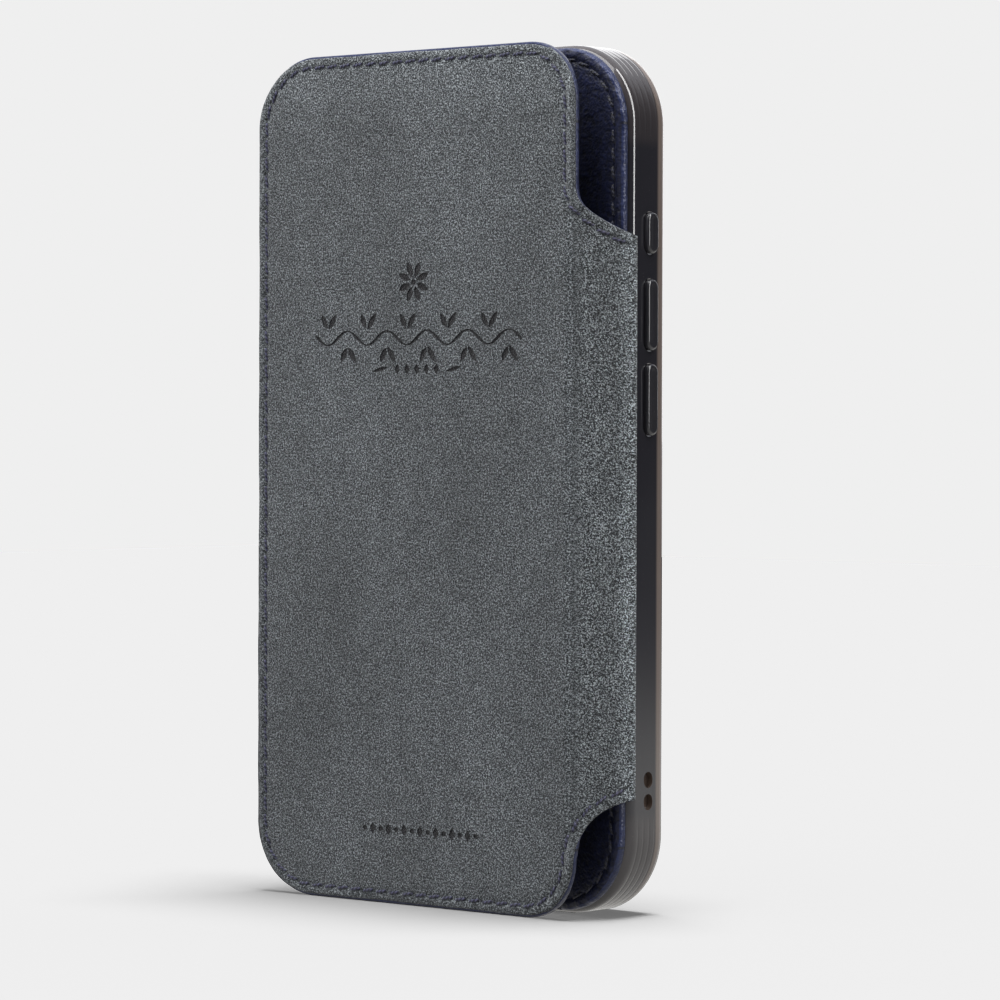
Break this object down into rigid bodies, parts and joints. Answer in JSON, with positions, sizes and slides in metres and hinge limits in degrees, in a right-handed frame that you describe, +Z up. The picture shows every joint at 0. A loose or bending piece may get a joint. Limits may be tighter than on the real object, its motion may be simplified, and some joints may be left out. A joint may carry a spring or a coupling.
{
  "type": "phone folio case",
  "caption": "Leather folio phone case folded fully open: soft bumper shell for the phone, with a leather spine and a suede-lined flap that wraps round to cover the screen.",
  "frame": {"origin": "on the surface that the case stands on, under the middle of its box when it is folded fully open", "axes": "+Z up, along the case's height; +Y from the back with the folded flap towards the open screen side; +X to the side with the spine, seen from the back"},
  "size_m": [0.0806, 0.02, 0.1496],
  "materials": {
    "smoke_plastic": "smoke-tinted clear soft plastic, glossy",
    "pad_plastic": "the same smoke plastic, a little darker",
    "navy_leather": "fine-grained dyed calf leather, satin",
    "grey_suede": "blue-grey suede, matt, with a short nap",
    "navy_thread": "waxed polyester thread, slight sheen",
    "board": "plain fibre board, hidden",
    "magnet": "nickel-plated magnet, hidden"
  },
  "bodies": {
    "shell": {"bumper_frame": "smoke_plastic", "back_plate": "smoke_plastic", "camera_guard": "smoke_plastic", "magnet_ring": "magnet", "alignment_magnet": "magnet", "back_board": "board", "back_leather": "navy_leather", "back_stitching": "navy_thread", "camera_stitching": "navy_thread"},
    "action_button": {"action_button_pad": "pad_plastic"},
    "volume_up": {"volume_up_pad": "pad_plastic"},
    "volume_down": {"volume_down_pad": "pad_plastic"},
    "side_button": {"side_button_pad": "pad_plastic"},
    "root_strip": {"root_strip": "navy_leather"},
    "spine": {"spine_leather": "navy_leather", "spine_stiffener": "board", "spine_lining": "grey_suede", "spine_stitching_upper": "navy_thread", "spine_stitching_lower": "navy_thread"},
    "flap": {"flap_leather": "navy_leather", "flap_board": "board", "flap_lining": "grey_suede", "flap_stitching": "navy_thread", "flap_magnet_upper": "magnet", "flap_magnet_lower": "magnet"}
  },
  "joints": [
    {"name": "root_hinge", "type": "hinge", "parent": "shell", "child": "root_strip", "pos_m": [0.03945, -0.00028, 0.0683], "axis": [0, 0, 1], "range_deg": [0, 110]},
    {"name": "spine_hinge", "type": "hinge", "parent": "root_strip", "child": "spine", "pos_m": [0.03983, -0.0011, 0.0683], "axis": [0, 0, 1], "range_deg": [0, 110]},
    {"name": "flap_fold", "type": "hinge", "parent": "spine", "child": "flap", "pos_m": [0.03302, -0.00922, 0.0683], "axis": [0, 0, 1], "range_deg": [0, 140]},
    {"name": "action_button_press", "type": "slide", "parent": "shell", "child": "action_button", "axis": [-1, 0, 0], "range_m": [0, 0.0005], "stiffness_N_per_m": 600},
    {"name": "volume_up_press", "type": "slide", "parent": "shell", "child": "volume_up", "axis": [-1, 0, 0], "range_m": [0, 0.0005], "stiffness_N_per_m": 600},
    {"name": "volume_down_press", "type": "slide", "parent": "shell", "child": "volume_down", "axis": [-1, 0, 0], "range_m": [0, 0.0005], "stiffness_N_per_m": 600},
    {"name": "side_button_press", "type": "slide", "parent": "shell", "child": "side_button", "axis": [1, 0, 0], "range_m": [0, 0.0005], "stiffness_N_per_m": 600}
  ]
}
